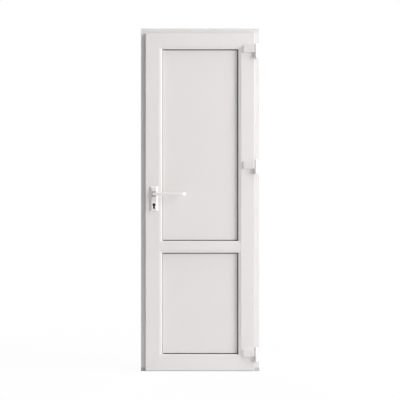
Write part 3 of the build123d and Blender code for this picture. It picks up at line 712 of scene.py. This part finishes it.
def lever(node, outward):
    low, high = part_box(node)
    journal, collar = collar_of(node, outward)
    front, root = (low.y, high.y) if outward < 0 else (high.y, low.y)
    bar_y = front - outward * LEVER_THICKNESS / 2
    shape = bmesh.new()
    heel = Vector((low.x, bar_y, collar.z))
    lever_bar(shape, heel, high.x - LEVER_THICKNESS / 2, outward)
    line = neck_line(journal, root, collar.y, bar_y, outward)
    turned(shape, Vector((collar.x, 0.0, collar.z)), Vector((0.0, 1.0, 0.0)), line)
    piece = new_piece(f"{node}_bar", shape, "handle", handle_coat)
    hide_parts(node)


lever("lever_front", -1)
lever("lever_rear", 1)

# %% [markdown]
# ### Bearing washers
# Where the neck enters the plate, a black washer lies on the collar and keeps metal off metal.
# From the front it shows as two short dark lines, above and below the bar. Its black is partly the
# washer's own and partly painted shade for the gap round the neck. Its outline is square and its hole
# is round. Both loops start as circles with the same number of points; the outer one is pushed out to
# a square, the two are bridged, and the flat ring is extruded to its thickness. It belongs to the
# plate and doesn't turn.

# %% A square washer with a round hole on each collar
WASHER_HALF_WIDTH, WASHER_HALF_HEIGHT = 0.0107, 0.0133
WASHER_HOLE, WASHER_THICKNESS = 0.0086, 0.0022
WASHER_POINTS = 48


def washer_with_painted_shade(name, lever_node, outward):
    shape = bmesh.new()
    bmesh.ops.create_circle(shape, cap_ends=False, segments=WASHER_POINTS, radius=WASHER_HOLE)
    outer = bmesh.ops.create_circle(shape, cap_ends=False, segments=WASHER_POINTS, radius=1.0)
    for vert in outer["verts"]:
        flat = vert.co / max(abs(vert.co.x), abs(vert.co.y))
        vert.co = (flat.x * WASHER_HALF_WIDTH, flat.y * WASHER_HALF_HEIGHT, 0.0)
    bmesh.ops.bridge_loops(shape, edges=shape.edges[:])
    push(shape, shape.faces[:], (0.0, 0.0, WASHER_THICKNESS))
    face_out(shape, collar_of(lever_node, outward)[1], outward)
    # The washer's black is partly its own and partly painted shade round the neck.
    new_piece(name, shape, "leaf", gasket_rubber)


washer_with_painted_shade("washer_with_painted_shade_front", "lever_front", -1)
washer_with_painted_shade("washer_with_painted_shade_rear", "lever_rear", 1)

# %% [markdown]
# ## Screws
# The threshold, the strike plate, the lock's faceplate and the rear handle plate are held by
# countersunk screws with a cross recess. One function makes a whole row as one piece. Each head starts
# as a small grid: its outer edge is pushed out to a circle and down into a cone, the cone is closed
# below, and the faces that form a cross are extruded inwards.

# %% A row of countersunk screws
GRID = 6
CROSS_REACH = 0.55
HEAD_RISE, RECESS_DEPTH = 0.0002, 0.0011
HEAD_FOOT = (0.6, -RECESS_DEPTH - 2 * HEAD_RISE)
HEAD_RINGS = ((0.86, 0.0), (1.0, -HEAD_RISE), (0.8, -3 * HEAD_RISE), HEAD_FOOT)


def screw_head(shape, radius, at, turn):
    """One head with its face towards local +Z, set in place by a rotation."""
    others = set(shape.verts)
    reach = radius * CROSS_REACH
    cell = 2 * reach / GRID
    grid = bmesh.ops.create_grid(shape, x_segments=GRID, y_segments=GRID, size=reach)["verts"]
    bmesh.ops.translate(shape, verts=grid, vec=(0.0, 0.0, HEAD_RISE))
    faces = [face for face in shape.faces if face.verts[0] not in others]
    rim = [edge for edge in shape.edges if edge.is_boundary]
    for size, drop in HEAD_RINGS:
        grown = bmesh.ops.extrude_edge_only(shape, edges=rim)["geom"]
        for vert in only(bmesh.types.BMVert, grown):
            flat = Vector((vert.co.x, vert.co.y, 0.0)).normalized() * radius * size
            vert.co = (flat.x, flat.y, HEAD_RISE + drop)
        rim = only(bmesh.types.BMEdge, grown)
    bmesh.ops.contextual_create(shape, geom=rim)
    middles = [(face, face.calc_center_median()) for face in faces]
    cross = [face for face, middle in middles if min(abs(middle.x), abs(middle.y)) < cell]
    push(shape, cross, (0.0, 0.0, -RECESS_DEPTH))
    for vert in shape.verts:
        if vert not in others:
            vert.co = turn @ vert.co + at


def screws(name, body, material, radius, facing, places):
    shape = bmesh.new()
    turn = Vector(facing).to_track_quat("Z", "Y").to_matrix()
    for at in places:
        screw_head(shape, radius, Vector(at), turn)
    new_piece(name, shape, body, material)


print("a head has", len(HEAD_RINGS), "rings round a grid of", GRID * GRID, "faces")

# %% Screws where the door has them
SCREW, LARGE_SCREW = 0.0036, 0.0045
STRIKE_INSETS, FACEPLATE_INSETS = (0.017, 0.100, -0.017), (0.012, 0.062, -0.012)
THRESHOLD_PLACES, THRESHOLD_DEPTH = (-0.22, 0.0, 0.22), 0.019
PLATE_INSET, CYLINDER_SUNK = 0.014, 0.0005


def row_up(node, x, insets):
    """Places up the middle of a plate: an inset counts from the bottom, or if negative from the top."""
    low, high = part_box(node)
    depth = (low.y + high.y) / 2
    return [(x, depth, inset + (low.z if inset > 0 else high.z)) for inset in insets]


row = row_up("strike_plate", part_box("strike_plate")[1].x, STRIKE_INSETS)
screws("strike_screws", "frame", plated_steel, SCREW, (1, 0, 0), row)
row = row_up("lock_faceplate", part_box("lock_faceplate")[0].x, FACEPLATE_INSETS)
screws("faceplate_screws", "leaf", plated_steel, SCREW, (-1, 0, 0), row)

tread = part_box("threshold")[1].z
row = [(x, THRESHOLD_DEPTH, tread) for x in THRESHOLD_PLACES]
screws("threshold_screws", "frame", plated_steel, LARGE_SCREW, (0, 0, 1), row)

rear_low, rear_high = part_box("handle_plate_rear")
rear_middle = (rear_low.x + rear_high.x) / 2
rear_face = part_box("lock_cylinder")[1].y + CYLINDER_SUNK
row = [(rear_middle, rear_face, z) for z in (rear_high.z - PLATE_INSET, rear_low.z + PLATE_INSET)]
screws("rear_plate_screws", "leaf", handle_coat, LARGE_SCREW, (0, 1, 0), row)

# %% [markdown]
# ## Cylinder plugs
# Inside the round head of the lock cylinder sits the plug that the key turns. It shows as a disc with a
# fine gap round it and the key's slot in its middle. We cut a disc along four planes, take out the
# slot, and give what is left its thickness, so that the slot of the solid stays open behind it.

# %% A plug at each end of the cylinder
PLUG_LIGHT, PLUG_DARK = (0.056, 0.052, 0.047, 1.0), (0.027, 0.026, 0.024, 1.0)
PLUG_RADIUS, PLUG_POINTS = 0.0066, 48
PLUG_RISE = 0.0004
SLOT_HALF_WIDTH, SLOT_HALF_HEIGHT = 0.0008, 0.0045

plug_metal = lined_metal("plug_metal", PLUG_LIGHT, PLUG_DARK, "Z", 0.30)


def in_slot(face):
    middle = face.calc_center_median()
    return abs(middle.x) < SLOT_HALF_WIDTH and abs(middle.y) < SLOT_HALF_HEIGHT


def plug(name, at, outward):
    shape = bmesh.new()
    bmesh.ops.create_circle(shape, cap_ends=True, segments=PLUG_POINTS, radius=PLUG_RADIUS)
    for reach in (Vector((SLOT_HALF_WIDTH, 0.0, 0.0)), Vector((0.0, SLOT_HALF_HEIGHT, 0.0))):
        slice_through(shape, -reach, reach.normalized())
        slice_through(shape, reach, reach.normalized())
    slot = [face for face in shape.faces if in_slot(face)]
    bmesh.ops.delete(shape, geom=slot, context="FACES")
    push(shape, shape.faces[:], (0.0, 0.0, PLUG_RISE))
    face_out(shape, at, outward)
    new_piece(name, shape, "leaf", plug_metal)


cylinder_low, cylinder_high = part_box("lock_cylinder")
plug_x = (cylinder_low.x + cylinder_high.x) / 2
plug_z = cylinder_high.z - (cylinder_high.x - cylinder_low.x) / 2
plug("plug_front", Vector((plug_x, cylinder_low.y, plug_z)), -1)
plug("plug_rear", Vector((plug_x, cylinder_high.y, plug_z)), 1)

# %% [markdown]
# ## Studio
# The photograph has a white background and no visible wall. The floor is a large pale sheet that counts
# as white for the camera but still takes a faint shadow near the door; further out it turns fully
# white. The world does the same for rays that reach the camera straight or by reflection, and lights
# everything else with a weak, even grey.

# %% Floor
PAPER = (0.88, 0.88, 0.88, 1.0)
FULL_WHITE = (1.0, 1.0, 1.0, 1.0)
FLOOR_REACH = 40.0
SHADOW_NEAR, SHADOW_FAR, SHADOW_SHARE = 1.2, 4.0, 0.05


def seen_directly(start):
    """1 for rays from the camera, from a mirror or through glass."""
    rays = [start.node("ShaderNodeLightPath", output=name)
            for name in ("Is Camera Ray", "Is Glossy Ray", "Is Transmission Ray")]
    return (rays[0] + rays[1] + rays[2]).smaller(1.0)


floor_finish, start = new_finish("studio_floor")
place = object_place(start)
distance = place.node("ShaderNodeVectorMath", {"operation": "LENGTH"}, {0: place}, output="Value")
shadow = distance.step(SHADOW_FAR, SHADOW_NEAR) * SHADOW_SHARE
paper = start.node("ShaderNodeBsdfDiffuse", {}, {"Color": PAPER})
light = start.node("ShaderNodeEmission", {}, {"Color": FULL_WHITE})
glow = (1.0 - shadow) * seen_directly(start)
mixed = start.node("ShaderNodeMixShader", {}, {0: glow, 1: paper, 2: light})
start.node("ShaderNodeOutputMaterial", {}, {"Surface": mixed})

shape = bmesh.new()
bmesh.ops.create_grid(shape, x_segments=2, y_segments=2, size=FLOOR_REACH)
floor_mesh = bpy.data.meshes.new("studio_floor")
shape.to_mesh(floor_mesh)
shape.free()
floor_mesh.materials.append(floor_finish)
floor = bpy.data.objects.new("studio_floor", floor_mesh)
bpy.context.collection.objects.link(floor)
print("floor", 2 * FLOOR_REACH, "m across")

# %% World
AMBIENT = 0.17

world = bpy.data.worlds.new("studio")
bpy.context.scene.world = world
world.use_nodes = True
world.node_tree.nodes.clear()
start = Wire(world.node_tree)
strength = AMBIENT + seen_directly(start) * (1.0 - AMBIENT)
sky = start.node("ShaderNodeBackground", {}, {"Color": FULL_WHITE, "Strength": strength})
start.node("ShaderNodeOutputWorld", {}, {"Surface": sky})
print("even light of strength", AMBIENT)

# %% [markdown]
# ## Light
# One large soft lamp stands far to the right and a little above, so that the leaf shades the frame on
# its left, the beads that face left turn grey, and the faces stay almost even from side to side. A weak
# lamp on the left keeps the shaded sides readable. One high on the right brightens the beads that face
# up, and one behind on the left lights the rear for anyone who walks round the door. Each lamp looks at
# the middle of the door, so its place is given by two angles: how far round to the right of the camera,
# and how high.

# %% Lamps
LAMP_DISTANCE = 9.0
LAMPS = {
    "key": {"round": 60.0, "up": 18.0, "wide": 5.0, "tall": 6.0, "watts": 745.0},
    "fill": {"round": -78.0, "up": 3.0, "wide": 3.0, "tall": 3.0, "watts": 35.0},
    "top": {"round": 74.0, "up": 62.0, "wide": 4.0, "tall": 4.0, "watts": 350.0},
    "rear": {"round": 205.0, "up": 35.0, "wide": 5.0, "tall": 4.0, "watts": 300.0},
}

middle = Vector((0.0, 0.0, (cad_box[0][2] + cad_box[1][2]) / 2))
for name, lamp in LAMPS.items():
    side, up = math.radians(lamp["round"]), math.radians(lamp["up"])
    flat = math.cos(up)
    way = Vector((math.sin(side) * flat, -math.cos(side) * flat, math.sin(up)))
    lamp_data = bpy.data.lights.new(name, "AREA")
    lamp_data.shape = "RECTANGLE"
    lamp_data.size = lamp["wide"]
    lamp_data.size_y = lamp["tall"]
    lamp_data.energy = lamp["watts"]
    made = bpy.data.objects.new(name, lamp_data)
    made.location = middle + way * LAMP_DISTANCE
    made.rotation_euler = way.to_track_quat("Z", "Y").to_euler()
    bpy.context.collection.objects.link(made)
print(len(LAMPS), "lamps,", LAMP_DISTANCE, "m away")

# %% [markdown]
# ## Camera
# The camera looks straight at the middle of the door through a long lens, so that upright edges stay
# upright. Its distance follows from the lens and from the width that the picture takes in at the
# frame's front. The photograph isn't quite centred, so the camera stands a touch to the left and below.

# %% A long lens straight in front
VIEW_WIDTH = 2.312
VIEW_SIDE, VIEW_DROP = -0.0003, 0.0016
LENS, SENSOR_WIDTH = 110.0, 36.0

camera_data = bpy.data.cameras.new("camera")
camera_data.lens = LENS
camera_data.sensor_width = SENSOR_WIDTH
camera = bpy.data.objects.new("camera", camera_data)
camera_distance = VIEW_WIDTH * LENS / SENSOR_WIDTH
front_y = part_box("frame_head")[0].y
camera.location = (VIEW_SIDE, front_y - camera_distance, middle.z - VIEW_DROP)
camera.rotation_euler = (QUARTER, 0.0, 0.0)
bpy.context.collection.objects.link(camera)
bpy.context.scene.camera = camera
bpy.context.scene.view_settings.view_transform = "Standard"
print("camera stands", round(camera_distance, 2), "m in front of the frame")
